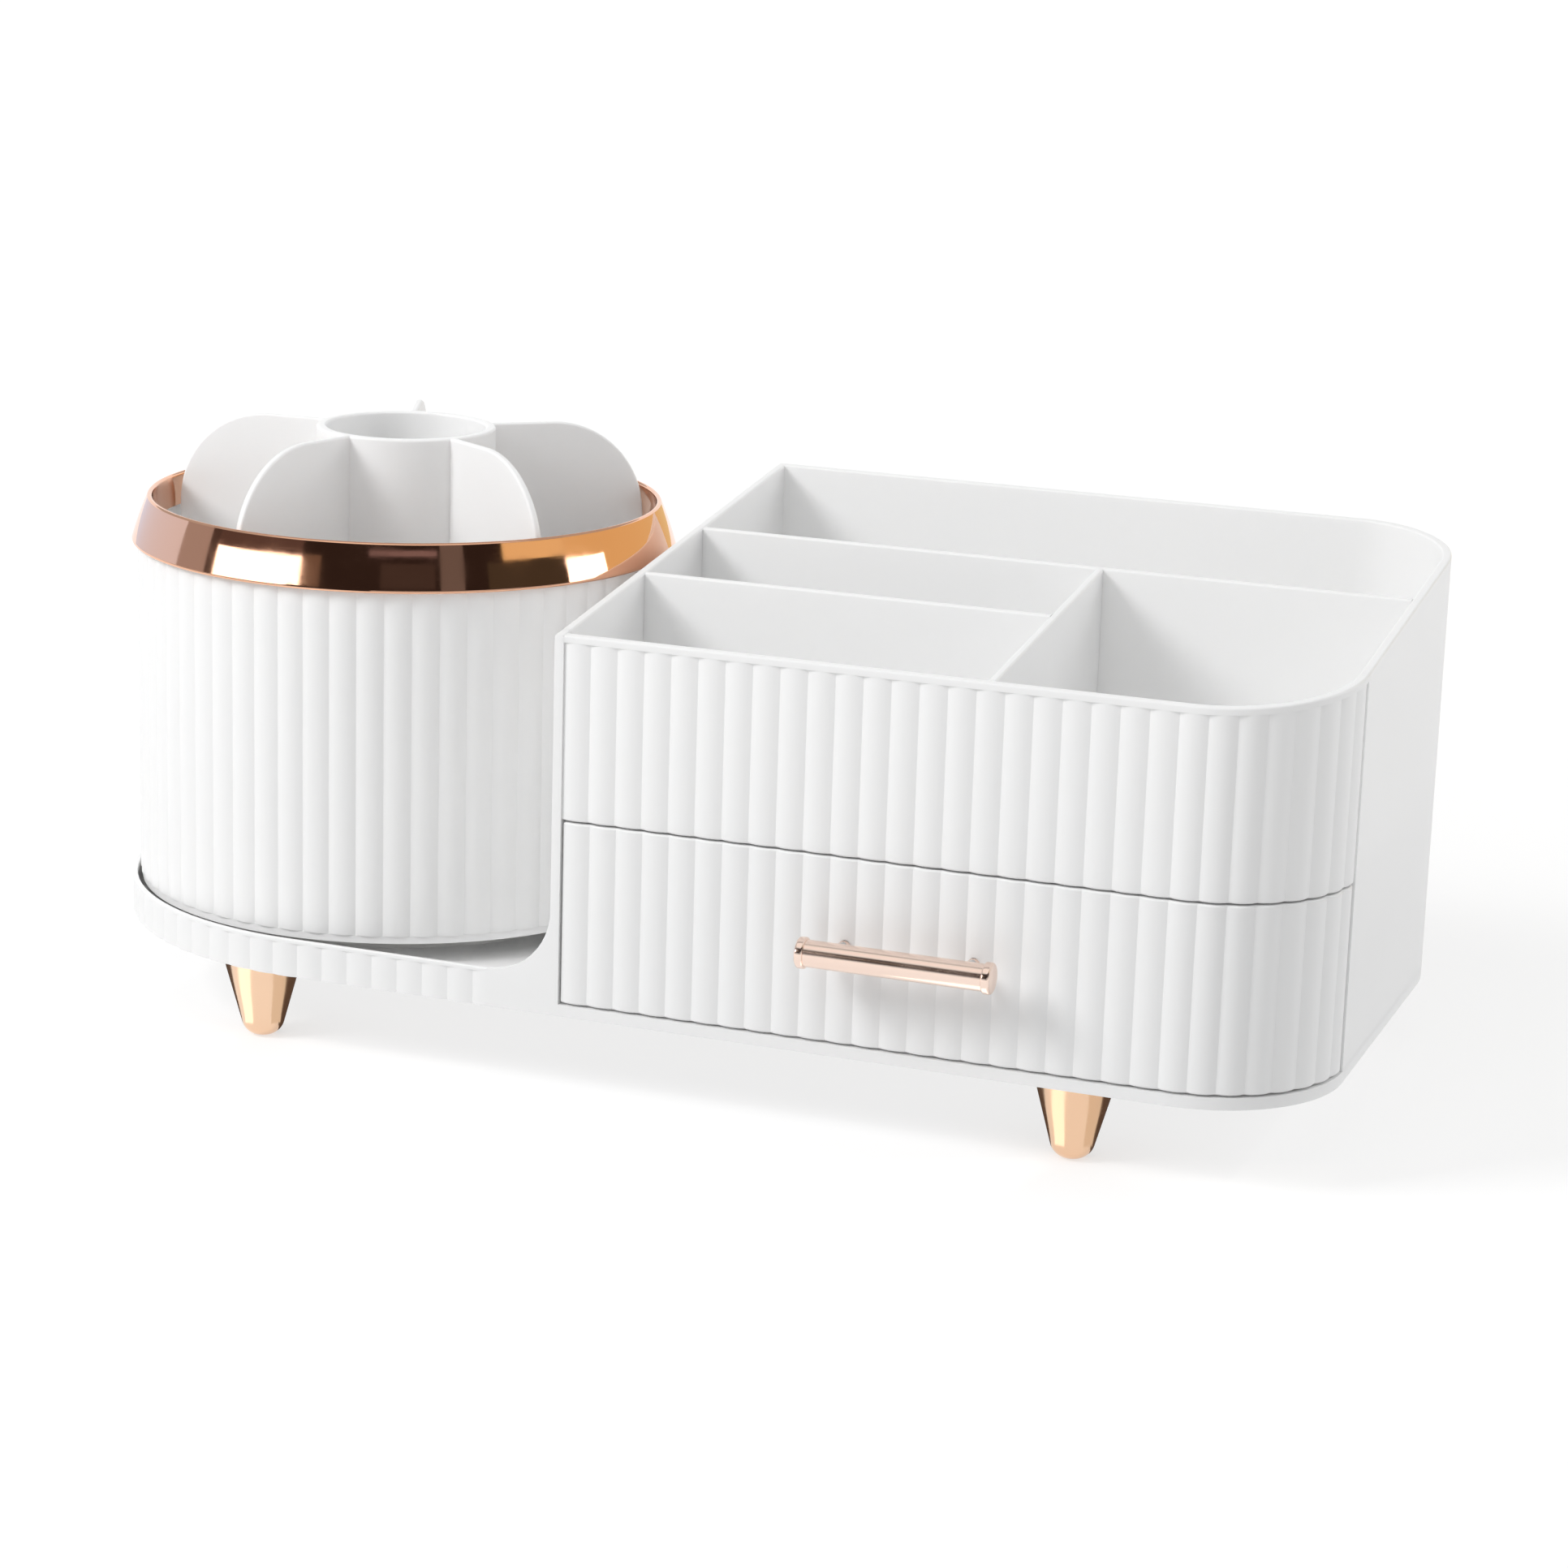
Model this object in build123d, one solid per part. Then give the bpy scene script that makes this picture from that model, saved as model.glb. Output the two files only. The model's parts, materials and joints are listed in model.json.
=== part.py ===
from build123d import *
import math
import os

# Desk organizer: a turning brush cup on a round-ended platform, beside a box with four open
# compartments above one drawer. Millimetres. The origin is the middle of the footprint, on the
# surface that the feet stand on. X runs to the right, Y to the back, Z up.

# ---- overall sizes -------------------------------------------------------------------------
box_width = 179.5
box_depth = 143.0
foot_height = 20.5
base_thickness = 2.8              # the floor plate, seen as a thin rim under the drawer
front_rim_height = 90.2           # from the underside of the base to the front rim of the box
rim_slope = 6.94                  # degrees that the rim rises towards the back
drawer_seam_height = 47.0         # from the underside of the base to the seam above the drawer
wall = 2.2                        # outer walls of the box
front_corner_radius = 32.0
back_corner_radius = 27.5
edge_round = 0.5                  # on the rims and the partitions
past = 1.0                        # how far a cutting shape runs past a face
upward = 0.9                      # least rise of the normal of a face that looks up

# ---- reeding (the fluted walls) ---------------------------------------------------------------
reed_pitch = 6.5
reed_depth = 0.6
rim_band = 1.6                    # the plain band above the reeds
reed_end = 0.35                   # how far the ends of the reeds are drawn in along the seams

# ---- platform -----------------------------------------------------------------------------------
lip_height = 9.2                  # from the underside of the base
lip_wall = 1.2
lip_reed_depth = 0.4
lip_band = 0.9                    # the plain edge above the platform's reeds
lip_gap = 0.6                     # between the lip and the rim of the turntable
lip_round = 0.3
strip_depth = 4.0                 # the upright front edge of the box's left wall
strip_fillet = 16.0               # the sweep from the lip up into the strip

# ---- compartments -----------------------------------------------------------------------------
shelf_thickness = 2.0
divider_thickness = 1.8
back_divider_y = 84.3             # from the front face of the box
middle_divider_y = 47.4
cross_divider_x = 102.0           # from the left face of the box

# ---- drawer ---------------------------------------------------------------------------------------
drawer_gap = 0.5                  # the dark line round the drawer front
drawer_front_wall = 2.4
tray_wall = 1.8
tray_floor = 1.8
tray_side_gap = 0.6
tray_lift = 0.3                   # between the tray's runners and the base
runner_height = 1.0
runner_width = 3.0
runner_inset = 16.0
runner_end = 10.0                 # from the ends of the runners to the ends of the tray
tray_back_gap = 3.0
tray_top_gap = 4.0                # the tray's sides pass under the stop rib
tray_back_top_gap = 1.0           # the tray's back wall does not
drawer_travel = 100.0
stop_gap = 0.3
stop_rib_height = 2.6
stop_rib_width = 2.0
stop_rib_left = 20.0              # from the box's left face
stop_rib_right = 40.0             # from the box's right face, clear of the round corner

# ---- handle -----------------------------------------------------------------------------------------
handle_length = 45.4
handle_radius = 3.1
handle_offset = 87.0              # from the box's left face to the middle of the bar
handle_height = 26.6              # axis of the bar, from the underside of the base
handle_standoff = 9.5             # axis of the bar, from the drawer's front face
handle_post_radius = 1.7
handle_post_inset = 7.5           # from the ends of the handle
handle_cap_radius = 3.6
handle_cap_length = 2.0
handle_cap_round = 0.5
handle_screw_radius = 1.0
handle_screw_reach = 5.0          # how far the screw goes into the post
screw_slack = 0.15                # clearance round a screw that passes through a wall
screw_head_radius = 2.2
screw_head_height = 1.4
screw_end_gap = 0.3               # left free beyond the tip of a screw

# ---- feet ---------------------------------------------------------------------------------------------
foot_top_radius = 9.8
foot_bottom_radius = 4.2          # where the taper would meet the floor
foot_round = 4.2                  # of the rounded tip
foot_end_inset = 56.85            # from the left and right ends
foot_inset = 15.0                 # from the front and back faces of the box
foot_screw_radius = 1.5
foot_screw_length = 12.0
foot_screw_head_radius = 3.0

# ---- turntable -------------------------------------------------------------------------------------
deck_gap = 5.0                    # between the deck and the underside of the turntable
race_gap = 2.5                    # between the race and the underside of the turntable
race_radius = 52.0
race_bore = 37.0
track_radius = 44.5
ball_radius = 1.5
ball_count = 12
ball_clearance = 0.15
pocket_clearance = 0.2
track_depth = 0.5
cage_thickness = 1.0
cage_width = 9.0
pivot_radius = 5.0
pivot_clearance = 0.06
pivot_flange_radius = 12.0
pivot_flange_height = 1.5
hub_radius = 11.0
hub_lift = 0.4                    # between the hub and the flange of the pivot pin
turntable_thickness = 2.8
turntable_rim = 1.8               # the part of it that shows under the cup
turntable_setback = 0.4           # how far its rim stays inside the cup's reeds
hub_recess_radius = 9.5
hub_recess_depth = 1.2
washer_radius = 8.5
washer_thickness = 1.0
washer_lift = 0.3
pivot_screw_radius = 1.6
pivot_screw_length = 5.5
pivot_screw_head_radius = 4.0
pivot_screw_head_height = 2.0

# ---- cup --------------------------------------------------------------------------------------------
cup_margin = 5.9                  # from the platform's front edge to the cup's reeds
cup_gap = 4.8                     # between the plated ring and the box
cup_wall = 2.8
cup_floor = 2.0
cup_skirt_wall = 2.2              # of the skirt round the turntable plate
skirt_gap = 0.1
cup_access_radius = 10.5          # hole in the floor above the pivot screw
spigot_step = 1.2                 # how far the spigot stays inside the reeds
spigot_height = 5.5
cup_screw_circle = 30.0
cup_screw_radius = 1.3
cup_screw_head_radius = 2.6
cup_screw_head_height = 1.2
cup_screw_count = 3
cup_screw_depth = 1.5             # how far the screws go into the cup's floor
cup_screw_start_angle = 30.0

# ---- rim ring ---------------------------------------------------------------------------------------
ring_overhang = 1.4               # beyond the cup's reeds, at the foot of the ring
ring_lean = 3.7                   # how far the outside leans in on its way up
ring_lining = 0.9                 # of the skirt inside the cup
ring_bottom = 93.0                # from the underside of the base
ring_height = 11.2
ring_bulge = 0.3
ring_foot_round = 0.4
ring_skirt = 8.0

# ---- brush insert -----------------------------------------------------------------------------------
insert_top = 121.4                # from the underside of the base
tube_radius = 22.0
tube_wall = 2.4
fin_count = 5
fin_clearance = 0.9               # between the fins and the plated ring
fin_thickness = 1.8
fin_edge_round = 0.6
fin_round = 24.0
fin_start_angle = 183.0
insert_seat_gap = 0.3
insert_floor = 1.6

# ---- derived places ---------------------------------------------------------------------------------
handle_reach = handle_standoff + handle_cap_radius
platform_radius = box_depth / 2
cup_radius = platform_radius - cup_margin
cup_inner_radius = cup_radius - cup_wall
cup_spigot_radius = cup_radius - spigot_step
skirt_radius = cup_radius - cup_skirt_wall
turntable_radius = cup_radius - turntable_setback
ring_radius = cup_radius + ring_overhang
ring_top_radius = ring_radius - ring_lean
ring_inner_radius = cup_inner_radius - ring_lining
fin_radius = ring_inner_radius - fin_clearance
cup_offset = cup_gap + ring_radius
platform_offset = cup_offset + turntable_radius + lip_gap + lip_wall - platform_radius
total_width = box_width + platform_offset + platform_radius
x_right = total_width / 2
foot_x = x_right - foot_end_inset
x_left = x_right - box_width
y_front = (handle_reach - box_depth) / 2
y_back = y_front + box_depth
y_mid = (y_front + y_back) / 2
z_base = foot_height
z_deck = z_base + base_thickness
z_shelf = z_base + drawer_seam_height
z_floor = z_shelf + shelf_thickness
z_rim = z_base + front_rim_height
z_lip = z_base + lip_height
rim_rise = box_depth * math.tan(math.radians(rim_slope))
z_high = z_rim + rim_rise + past
platform_x = x_left - platform_offset
cup_x = x_left - cup_offset
cup_y = y_mid
handle_x = x_left + handle_offset
z_turntable = z_deck + deck_gap
z_cup = z_turntable + turntable_thickness
z_cup_floor = z_cup + cup_floor
z_skirt = z_turntable + turntable_rim
z_ring_bottom = z_base + ring_bottom
z_ring_top = z_ring_bottom + ring_height
z_insert_top = z_base + insert_top
z_race = z_turntable - race_gap
z_ball = z_race - track_depth + ball_clearance + ball_radius


def save(shape, name):
    """Write one sub-part, named and placed in the shared frame."""
    shape.label = name
    export_step(shape, "parts/" + name + ".step")


def block(x0, x1, y0, y1, z0, z1):
    """A box between two corners."""
    size = (abs(x1 - x0), abs(y1 - y0), abs(z1 - z0))
    middle = ((x0 + x1) / 2, (y0 + y1) / 2, (z0 + z1) / 2)
    return Pos(*middle) * Box(*size)


def disc(x, y, z0, z1, radius):
    """An upright cylinder between two heights."""
    return Pos(x, y, (z0 + z1) / 2) * Cylinder(radius, z1 - z0)


def rod_y(x, y0, y1, z, radius):
    """A cylinder along Y."""
    return Pos(x, (y0 + y1) / 2, z) * Rot(90, 0, 0) * Cylinder(radius, abs(y1 - y0))


def rod_x(x0, x1, y, z, radius):
    """A cylinder along X."""
    return Pos((x0 + x1) / 2, y, z) * Rot(0, 90, 0) * Cylinder(radius, abs(x1 - x0))


def turned(points, x, y):
    """A turned part from a closed (radius, height) profile, about the upright axis at x, y."""
    face = make_face(Polyline(*[(r, 0, z) for r, z in points], close=True))
    return Pos(x, y, 0) * revolve(face, Axis.Z, 360)


def below_rim(drop):
    """Everything under the sloping rim, lowered by a drop."""
    y0 = y_front - past
    y1 = y_back + past
    z0 = z_rim - drop
    profile = [(y0, 0), (y1, 0), (y1, z0 + rim_rise), (y_front, z0), (y0, z0)]
    face = make_face(Polyline(*[(x_left - past, y, z) for y, z in profile], close=True))
    return extrude(face, amount=box_width + 2 * past, dir=(1, 0, 0))


def rounded_top(shape, radius, end):
    """Rounds the long edges of the uppermost face. Edges no longer than end stay sharp."""
    top = [face for face in shape.faces() if face.normal_at().Z > upward]
    top.sort(key=lambda face: face.center().Z)
    return fillet([edge for edge in top[-1].edges() if edge.length > end], radius)


def front_path(s, inset):
    """A point on the front outline of the box, a length s from its left end, set in from the face."""
    straight = x_right - front_corner_radius - (x_left + wall)
    if s <= straight:
        return (x_left + wall + s, y_front + inset)
    angle = (s - straight) / front_corner_radius - math.pi / 2
    radius = front_corner_radius - inset
    cx = x_right - front_corner_radius
    cy = y_front + front_corner_radius
    return (cx + radius * math.cos(angle), cy + radius * math.sin(angle))


def front_length():
    """The length of the front outline, from the strip to the end of the corner."""
    return x_right - front_corner_radius - x_left - wall + front_corner_radius * math.pi / 2


def reeded_front(left_gap, right_gap, thickness, inset=0):
    """The plan of a reeded wall that runs along the front and round the right corner."""
    start = left_gap
    end = front_length() - right_gap
    count = round((end - start) / reed_pitch)
    step = (end - start) / count
    valley = reed_depth + inset
    edges = []
    for i in range(count):
        a = start + i * step
        pts = [front_path(a, valley), front_path(a + step / 2, inset), front_path(a + step, valley)]
        edges.append(ThreePointArc(*pts))
    corner = front_length() - front_corner_radius * math.pi / 2
    half = (corner + end) / 2
    edges.append(Line(front_path(end, valley), front_path(end, thickness)))
    inner = [front_path(end, thickness), front_path(half, thickness), front_path(corner, thickness)]
    edges.append(ThreePointArc(*inner))
    edges.append(Line(front_path(corner, thickness), front_path(start, thickness)))
    edges.append(Line(front_path(start, thickness), front_path(start, valley)))
    return make_face(Wire(edges))


def reed_ends(left_gap, right_gap, thickness, z, side):
    """The last slice of a reeded wall at height z, drawn in below it (side -1) or above it (side 1)."""
    wide = Pos(0, 0, z) * reeded_front(left_gap, right_gap, thickness)
    narrow = Pos(0, 0, z + side * reed_end) * reeded_front(left_gap, right_gap, thickness, reed_end)
    return loft([wide, narrow])


def plain_front(left_gap, thickness):
    """The plan of the same wall without its reeds."""
    end = front_length()
    corner = end - front_corner_radius * math.pi / 2
    half = (corner + end) / 2
    outer = [front_path(corner, 0), front_path(half, 0), front_path(end, 0)]
    inner = [front_path(end, thickness), front_path(half, thickness), front_path(corner, thickness)]
    edges = [Line(front_path(left_gap, 0), outer[0]), ThreePointArc(*outer), Line(outer[2], inner[0])]
    edges.append(ThreePointArc(*inner))
    edges.append(Line(inner[2], front_path(left_gap, thickness)))
    edges.append(Line(front_path(left_gap, thickness), front_path(left_gap, 0)))
    return make_face(Wire(edges))


def box_plan(inset, left_inset):
    """The plan of the box: square on the left, rounded on the right."""
    rf = front_corner_radius - inset
    rb = back_corner_radius - inset
    return corner_plan(x_left + left_inset, x_right - inset, y_front + inset, y_back - inset, rf, rb)


def corner_plan(x0, x1, y0, y1, rf, rb):
    """An outline with square left corners, and right corners rounded by rf in front and rb behind."""
    k = math.sqrt(0.5)
    edges = [Line((x0, y0), (x1 - rf, y0))]
    mid = (x1 - rf + rf * k, y0 + rf - rf * k)
    edges.append(ThreePointArc((x1 - rf, y0), mid, (x1, y0 + rf)))
    edges.append(Line((x1, y0 + rf), (x1, y1 - rb)))
    mid = (x1 - rb + rb * k, y1 - rb + rb * k)
    edges.append(ThreePointArc((x1, y1 - rb), mid, (x1 - rb, y1)))
    edges.append(Line((x1 - rb, y1), (x0, y1)))
    edges.append(Line((x0, y1), (x0, y0)))
    return make_face(Wire(edges))


def platform_plan(inset):
    """The plan of the platform: a round left end between straight front and back edges."""
    r = platform_radius - inset
    y0 = y_mid - r
    y1 = y_mid + r
    left_arc = ThreePointArc((platform_x, y1), (platform_x - r, y_mid), (platform_x, y0))
    front = Line((platform_x, y0), (x_left, y0))
    side = Line((x_left, y0), (x_left, y1))
    back = Line((x_left, y1), (platform_x, y1))
    return make_face(Wire([left_arc, front, side, back]))


def platform_edge():
    """The length of the platform's edge, from the box round to the box again."""
    return 2 * (x_left - platform_x) + math.pi * platform_radius


def platform_path(s, inset):
    """A point on the platform's edge, a length s from the box along the front, round to the back."""
    straight = x_left - platform_x
    r = platform_radius - inset
    if s <= straight:
        return (x_left - s, y_mid - r)
    turn = (s - straight) / platform_radius
    if turn <= math.pi:
        return (platform_x - r * math.sin(turn), y_mid - r * math.cos(turn))
    back = s - straight - math.pi * platform_radius
    return (platform_x + back, y_mid + r)


def reeded_platform():
    """The platform's plan with its reeded edge."""
    length = platform_edge()
    count = round(length / reed_pitch)
    step = length / count
    edges = []
    for i in range(count):
        a = i * step
        ends = [platform_path(a, lip_reed_depth), platform_path(a + step, lip_reed_depth)]
        edges.append(ThreePointArc(ends[0], platform_path(a + step / 2, 0), ends[1]))
    edges.append(Line(platform_path(length, lip_reed_depth), platform_path(0, lip_reed_depth)))
    return make_face(Wire(edges))


def foot_places():
    """The four feet."""
    ys = [y_front + foot_inset, y_back - foot_inset]
    return [(x, y) for y in ys for x in (-foot_x, foot_x)]


# ---- base frame: platform, floor under the drawer, and the upright strip --------------------------
def base_frame():
    plate = Pos(0, 0, z_base) * extrude(box_plan(0, 0), base_thickness)
    deck = Pos(0, 0, z_base) * extrude(reeded_platform(), lip_height - lip_band)
    band = Pos(0, 0, z_lip - lip_band) * extrude(platform_plan(0), lip_band)
    well = Pos(0, 0, z_deck) * extrude(platform_plan(lip_wall), lip_height)
    lip = rounded_top(band - well, lip_round, lip_wall)
    frame = plate + (deck - well) + lip
    frame = frame + strip()
    for x, y in foot_places():
        frame = frame - disc(x, y, z_base - past, z_deck, foot_screw_radius + screw_slack)
        frame = frame - sink(x, y)
    return frame


def sink(x, y):
    """The countersink for a foot screw's head."""
    r = foot_screw_head_radius + screw_slack
    s = foot_screw_radius + screw_slack
    z0 = z_deck - r + s
    z1 = z_deck + past
    return turned([(0, z0), (s, z0), (r, z_deck), (r, z1), (0, z1)], x, y)


def strip():
    """The front edge of the left wall, with the sweep that joins it to the platform's lip."""
    post = block(x_left, x_left + wall, y_front, y_front + strip_depth, z_base, z_high)
    post = rounded_top(post & below_rim(0), edge_round, wall)
    f = strip_fillet
    web = block(x_left - f, x_left, y_front, y_front + lip_wall, z_base, z_lip + f)
    web = web - rod_y(x_left - f, y_front - past, y_front + lip_wall + past, z_lip + f, f)
    return post + web


# ---- box shell: left, back and right walls, shelf and stop rib ---------------------------------
def box_shell():
    outer = Pos(0, 0, z_deck) * extrude(box_plan(0, 0), z_high - z_deck)
    inner = Pos(0, 0, z_deck) * extrude(box_plan(wall, wall), z_high - z_deck)
    shell = outer - inner
    x_wall = x_left + wall
    y0 = y_front - past
    shell = shell - block(x_left - past, x_wall + past, y0, y_front + strip_depth, z_deck, z_high)
    corner_end = y_front + front_corner_radius
    shell = shell - block(x_wall, x_right + past, y0, corner_end, z_deck, z_high)
    shell = rounded_top(shell & below_rim(0), edge_round, wall)
    return shell + shelf()


def shelf():
    plan = box_plan(wall, wall)
    plate = Pos(0, 0, z_shelf) * extrude(plan, shelf_thickness)
    y1 = tray_back_front_y() - drawer_travel - stop_gap
    x0 = x_left + stop_rib_left
    x1 = x_right - stop_rib_right
    rib = block(x0, x1, y1 - stop_rib_width, y1, z_shelf - stop_rib_height, z_shelf)
    return plate + rib


def tray_back_front_y():
    """The front face of the tray's back wall, with the drawer closed."""
    return y_back - wall - tray_back_gap - tray_wall


# ---- reeded wall above the drawer ---------------------------------------------------------------
def upper_front():
    z0 = z_shelf + reed_end
    reeds = Pos(0, 0, z0) * extrude(reeded_front(0, 0, wall), z_high - z0)
    reeds = reeds & below_rim(rim_band)
    band = Pos(0, 0, z_shelf) * extrude(plain_front(0, wall), z_high - z_shelf)
    band = rounded_top(band & below_rim(0), edge_round, wall) - below_rim(rim_band)
    return reeds + band + reed_ends(0, 0, wall, z0, -1)


# ---- dividers -----------------------------------------------------------------------------------
def divider(x0, x1, y0, y1):
    room = Pos(0, 0, z_floor) * extrude(box_plan(wall, wall), z_high - z_floor)
    plate = block(x0, x1, y0, y1, z_floor, z_high) & room & below_rim(0)
    return rounded_top(plate, edge_round, divider_thickness * 2)


def divider_back():
    y = y_front + back_divider_y
    return divider(x_left, x_right, y, y + divider_thickness)


def divider_cross():
    x = x_left + cross_divider_x
    return divider(x, x + divider_thickness, y_front, y_front + back_divider_y)


def divider_middle():
    y = y_front + middle_divider_y
    return divider(x_left, x_left + cross_divider_x, y, y + divider_thickness)


# ---- feet ---------------------------------------------------------------------------------------------
def foot(x, y):
    corners = [(0, 0, 0), (foot_bottom_radius, 0, 0), (foot_top_radius, 0, foot_height)]
    corners.append((0, 0, foot_height))
    section = make_face(Polyline(*corners, close=True))
    tip = section.vertices().sort_by(Axis.Z)[:2].sort_by(Axis.X)[-1]
    section = fillet(tip, foot_round)
    body = Pos(x, y, 0) * revolve(section, Axis.Z, 360)
    bottom = z_deck - foot_screw_length - screw_end_gap
    return body - disc(x, y, bottom, foot_height + past, foot_screw_radius)


def foot_screw(x, y):
    r = foot_screw_head_radius
    s = foot_screw_radius
    bottom = z_deck - foot_screw_length
    points = [(0, bottom), (s, bottom), (s, z_deck - r + s), (r, z_deck), (0, z_deck)]
    return turned(points, x, y)


# ---- turntable bearing ---------------------------------------------------------------------------
def ball_track():
    """The room that the balls roll in, which cuts a groove into the race and into the turntable."""
    return Pos(cup_x, cup_y, z_ball) * Torus(track_radius, ball_radius + ball_clearance)


def bearing_race():
    ring = disc(cup_x, cup_y, z_deck, z_race, race_radius)
    ring = ring - disc(cup_x, cup_y, z_deck - past, z_race + past, race_bore)
    return ring - ball_track()


def ball_places():
    out = []
    for i in range(ball_count):
        a = 2 * math.pi * i / ball_count
        out.append((cup_x + track_radius * math.cos(a), cup_y + track_radius * math.sin(a)))
    return out


def ball_cage():
    z0 = z_ball - cage_thickness / 2
    z1 = z_ball + cage_thickness / 2
    ring = disc(cup_x, cup_y, z0, z1, track_radius + cage_width / 2)
    ring = ring - disc(cup_x, cup_y, z0 - past, z1 + past, track_radius - cage_width / 2)
    for x, y in ball_places():
        ring = ring - disc(x, y, z0 - past, z1 + past, ball_radius + pocket_clearance)
    return ring


def pivot_pin():
    top = z_cup - hub_recess_depth + washer_lift
    z_flange = z_deck + pivot_flange_height
    points = [(0, z_deck), (pivot_flange_radius, z_deck), (pivot_flange_radius, z_flange)]
    points += [(pivot_radius, z_flange), (pivot_radius, top), (0, top)]
    pin = turned(points, cup_x, cup_y)
    bottom = top + washer_thickness - pivot_screw_length - screw_end_gap
    return pin - disc(cup_x, cup_y, bottom, top + past, pivot_screw_radius)


def turntable_plate():
    plate = disc(cup_x, cup_y, z_turntable, z_skirt, turntable_radius)
    plate = plate + disc(cup_x, cup_y, z_turntable, z_cup, skirt_radius - skirt_gap)
    plate = plate + disc(cup_x, cup_y, z_deck + pivot_flange_height + hub_lift, z_cup, hub_radius)
    plate = plate - disc(cup_x, cup_y, z_deck, z_cup + past, pivot_radius + pivot_clearance)
    plate = plate - disc(cup_x, cup_y, z_cup - hub_recess_depth, z_cup + past, hub_recess_radius)
    plate = plate - ball_track()
    for x, y in cup_screw_places():
        plate = plate - disc(x, y, z_turntable - past, z_cup + past, cup_screw_radius + screw_slack)
        head = cup_screw_head_radius + screw_slack
        plate = plate - disc(x, y, z_turntable - past, z_turntable + cup_screw_head_height, head)
    return plate


def cup_screw_places():
    out = []
    for i in range(cup_screw_count):
        a = math.radians(cup_screw_start_angle) + 2 * math.pi * i / cup_screw_count
        out.append((cup_x + cup_screw_circle * math.cos(a), cup_y + cup_screw_circle * math.sin(a)))
    return out


def cup_screw(x, y):
    z_head = z_turntable + cup_screw_head_height
    top = z_cup + cup_screw_depth - screw_end_gap
    head = disc(x, y, z_turntable, z_head, cup_screw_head_radius)
    return head + disc(x, y, z_head, top, cup_screw_radius)


def retaining_washer():
    z0 = z_cup - hub_recess_depth + washer_lift
    z1 = z0 + washer_thickness
    ring = disc(cup_x, cup_y, z0, z1, washer_radius)
    return ring - disc(cup_x, cup_y, z0 - past, z1 + past, pivot_screw_radius + screw_slack)


def retaining_screw():
    z0 = z_cup - hub_recess_depth + washer_lift + washer_thickness
    head = disc(cup_x, cup_y, z0, z0 + pivot_screw_head_height, pivot_screw_head_radius)
    return head + disc(cup_x, cup_y, z0 - pivot_screw_length, z0, pivot_screw_radius)


# ---- cup, rim ring and brush insert -------------------------------------------------------------
def reeded_circle(radius):
    count = round(2 * math.pi * radius / reed_pitch)
    edges = []
    for i in range(count):
        pts = []
        for k, r in ((0, radius - reed_depth), (0.5, radius), (1, radius - reed_depth)):
            a = 2 * math.pi * (i + k) / count
            pts.append((r * math.cos(a), r * math.sin(a)))
        edges.append(ThreePointArc(*pts))
    return make_face(Wire(edges))


def cup():
    shell = Pos(cup_x, cup_y, z_skirt) * extrude(reeded_circle(cup_radius), z_ring_bottom - z_skirt)
    top = z_ring_bottom + spigot_height
    shell = shell + disc(cup_x, cup_y, z_ring_bottom - past, top, cup_spigot_radius)
    shell = shell - disc(cup_x, cup_y, z_cup_floor, top + past, cup_inner_radius)
    shell = shell - disc(cup_x, cup_y, z_skirt - past, z_cup, skirt_radius)
    shell = shell - disc(cup_x, cup_y, z_cup - past, z_cup_floor + past, cup_access_radius)
    for x, y in cup_screw_places():
        shell = shell - disc(x, y, z_cup - past, z_cup + cup_screw_depth, cup_screw_radius)
    return shell


def rim_ring():
    """The section leans in on its way up to a thin rounded crest, and lines the cup's mouth."""
    crest = (ring_top_radius - ring_inner_radius) / 2
    z_crest = z_ring_top - crest
    r0 = ring_foot_round
    foot_in = (ring_radius - r0, 0, z_ring_bottom)
    foot_out = (ring_radius, 0, z_ring_bottom + r0)
    outside = (ring_top_radius, 0, z_crest)
    belly = ((ring_radius + ring_top_radius) / 2 + ring_bulge, 0, (foot_out[2] + z_crest) / 2)
    inside = (ring_inner_radius, 0, z_crest)
    z_skirt_end = z_ring_top - ring_skirt
    z_spigot = z_ring_bottom + spigot_height
    corners = [inside, (ring_inner_radius, 0, z_skirt_end), (cup_inner_radius, 0, z_skirt_end)]
    corners += [(cup_inner_radius, 0, z_spigot), (cup_spigot_radius, 0, z_spigot)]
    corners += [(cup_spigot_radius, 0, z_ring_bottom), foot_in]
    edges = [Line(foot_in, foot_out), ThreePointArc(foot_out, belly, outside)]
    edges.append(ThreePointArc(outside, (ring_inner_radius + crest, 0, z_ring_top), inside))
    edges += Polyline(*corners).edges()
    return Pos(cup_x, cup_y, 0) * revolve(make_face(Wire(edges)), Axis.Z, 360)


def fin(angle):
    z0 = z_cup_floor + insert_seat_gap
    start = tube_radius - tube_wall / 2
    corners = [(start, 0, z0), (fin_radius, 0, z0), (fin_radius, 0, z_insert_top)]
    corners.append((start, 0, z_insert_top))
    section = make_face(Polyline(*corners, close=True))
    shoulder = section.vertices().sort_by(Axis.Z)[-2:].sort_by(Axis.X)[-1]
    plate = extrude(fillet(shoulder, fin_round), fin_thickness / 2, both=True)
    long = [edge for edge in plate.edges() if edge.length > 2 * fin_thickness]
    rim = [edge for edge in long if edge.center().X > tube_radius and edge.center().Z > z0 + fin_round]
    return Pos(cup_x, cup_y, 0) * Rot(0, 0, angle) * fillet(rim, fin_edge_round)


def brush_insert():
    z0 = z_cup_floor + insert_seat_gap
    body = disc(cup_x, cup_y, z0, z_insert_top, tube_radius)
    bore_radius = tube_radius - tube_wall
    body = body - disc(cup_x, cup_y, z0 + insert_floor, z_insert_top + past, bore_radius)
    body = rounded_top(body, fin_edge_round, tube_wall)
    for i in range(fin_count):
        body = body + fin(fin_start_angle + 360 * i / fin_count)
    return body


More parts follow.
